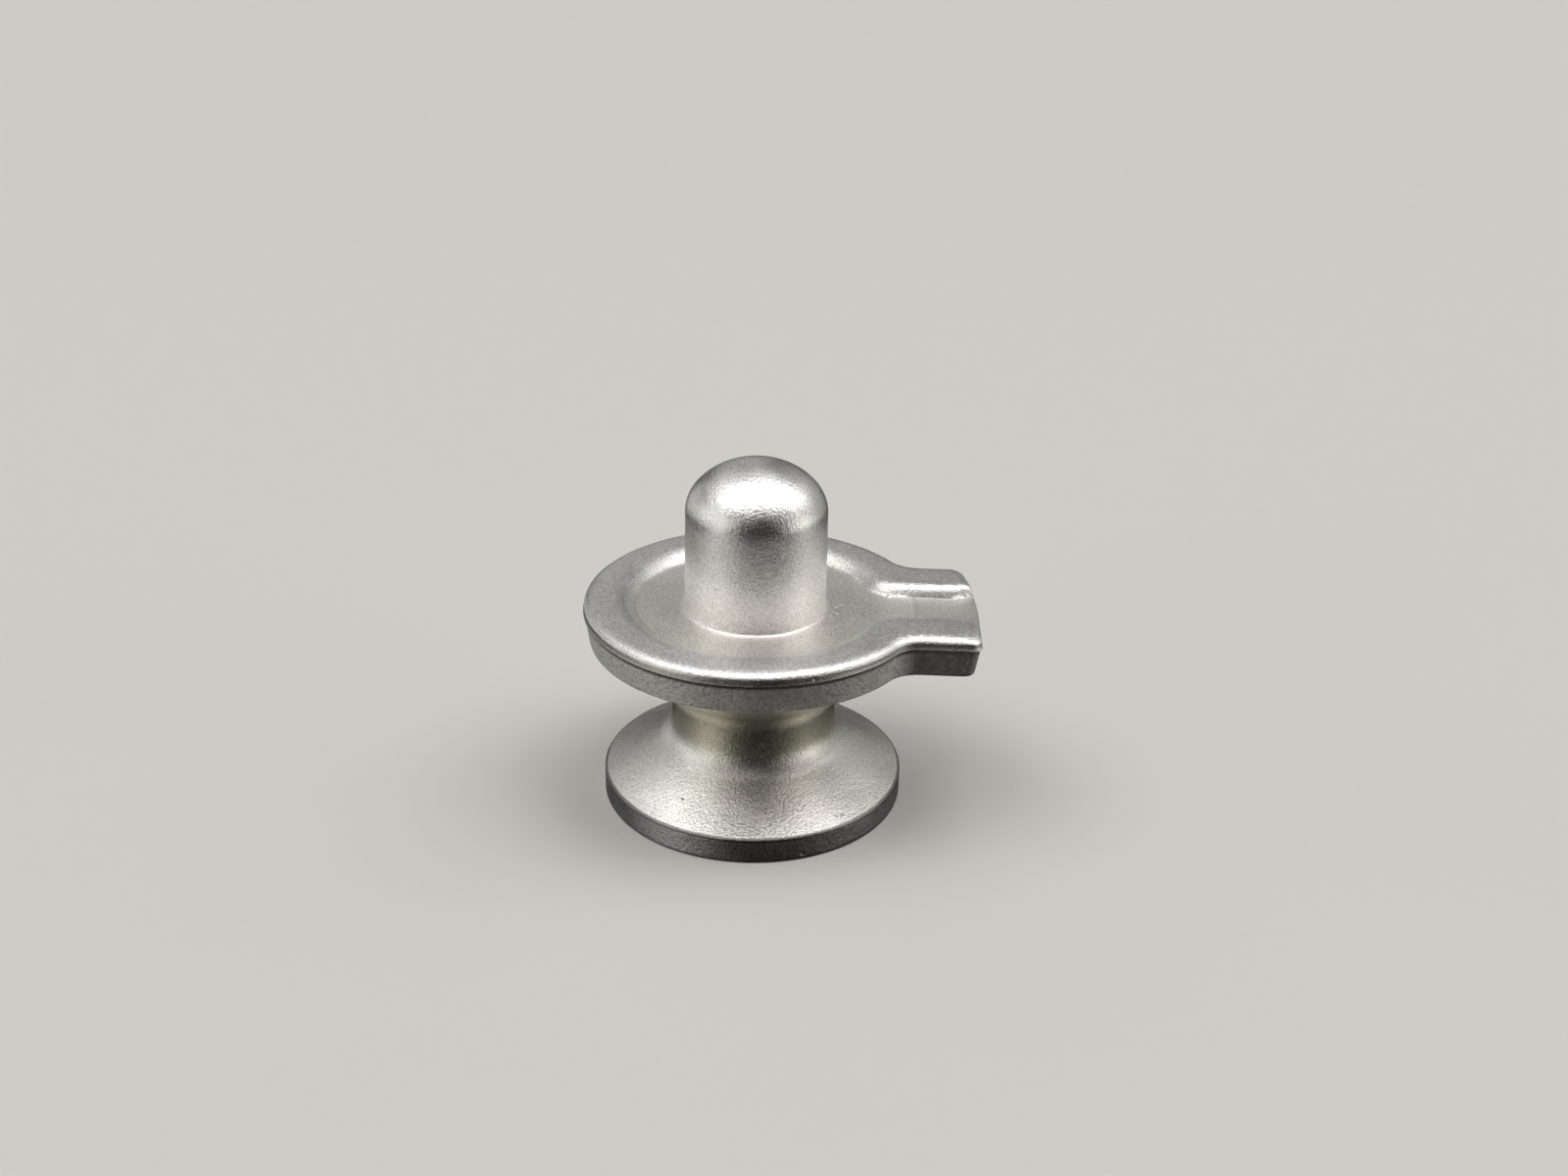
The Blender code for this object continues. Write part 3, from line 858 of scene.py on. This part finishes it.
def make_floor():
    """Plain pale floor."""
    bpy.ops.mesh.primitive_plane_add(size=FLOOR_SIZE)
    floor = bpy.context.object
    floor.name = "floor"
    material = bpy.data.materials.new("floor_paint")
    material.use_nodes = True
    shader = material.node_tree.nodes["Principled BSDF"]
    shader.inputs["Base Color"].default_value = FLOOR_COLOUR
    shader.inputs["Roughness"].default_value = FLOOR_ROUGHNESS
    floor.data.materials.append(material)
    floor.visible_glossy = False
    floor.visible_shadow = False


def add_sun(elevation, turn, strength, colour):
    """Distant soft light. The turn goes from the camera's side of the piece towards the spout's side."""
    data = bpy.data.lights.new("light", "SUN")
    data.angle = math.radians(LIGHT_SPREAD)
    data.energy = strength
    data.color = colour
    light = bpy.data.objects.new("light", data)
    rise = math.radians(elevation)
    side = math.radians(turn)
    towards = Vector((math.cos(rise) * math.sin(side), -math.cos(rise) * math.cos(side), math.sin(rise)))
    light.rotation_euler = towards.to_track_quat("Z", "Y").to_euler()
    bpy.context.scene.collection.objects.link(light)


def make_camera():
    """Camera at the photograph's viewing angle."""
    data = bpy.data.cameras.new("camera")
    data.lens = LENS
    data.sensor_width = SENSOR_WIDTH
    data.sensor_fit = "HORIZONTAL"
    data.clip_start = NEAREST_VIEW * MM
    camera = bpy.data.objects.new("camera", data)
    bpy.context.scene.collection.objects.link(camera)
    pitch = math.radians(VIEW_PITCH)
    yaw = math.radians(VIEW_YAW)
    roll = math.radians(VIEW_ROLL)
    ahead = Vector((math.sin(yaw), math.cos(yaw), 0.0))
    forward = math.cos(pitch) * ahead - Vector((0.0, 0.0, math.sin(pitch)))
    level = Vector((math.cos(yaw), -math.sin(yaw), 0.0))
    upright = math.sin(pitch) * ahead + Vector((0.0, 0.0, math.cos(pitch)))
    right = math.cos(roll) * level + math.sin(roll) * upright
    up = -math.sin(roll) * level + math.cos(roll) * upright
    axes = Matrix((right, up, -forward)).transposed().to_4x4()
    place = Matrix.Translation((0.0, -VIEW_DISTANCE * MM, VIEW_HEIGHT * MM))
    camera.matrix_world = Matrix.Rotation(math.radians(VIEW_TURN), 4, "Z") @ place @ axes
    bpy.context.scene.camera = camera


def make_world():
    """Pale surroundings that match the floor in a low view and give no light themselves."""
    world = bpy.data.worlds.new("studio")
    bpy.context.scene.world = world
    world.use_nodes = True
    background = world.node_tree.nodes["Background"]
    background.inputs["Color"].default_value = BACKGROUND_COLOUR
    background.inputs["Strength"].default_value = 1.0
    world.cycles_visibility.diffuse = False
    world.cycles_visibility.glossy = False


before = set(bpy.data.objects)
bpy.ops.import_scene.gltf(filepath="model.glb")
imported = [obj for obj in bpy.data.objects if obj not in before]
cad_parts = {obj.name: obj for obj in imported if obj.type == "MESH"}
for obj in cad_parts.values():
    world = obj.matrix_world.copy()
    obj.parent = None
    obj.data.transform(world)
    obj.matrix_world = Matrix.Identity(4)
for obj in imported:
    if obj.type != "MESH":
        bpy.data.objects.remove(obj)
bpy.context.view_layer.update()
casting = make_casting()
casting.data.materials.append(metal_material())
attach(casting, "root")
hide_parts(NODE)
make_floor()
make_world()
for light in LIGHTS:
    add_sun(*light)
make_camera()
bpy.context.scene.view_settings.view_transform = "Standard"
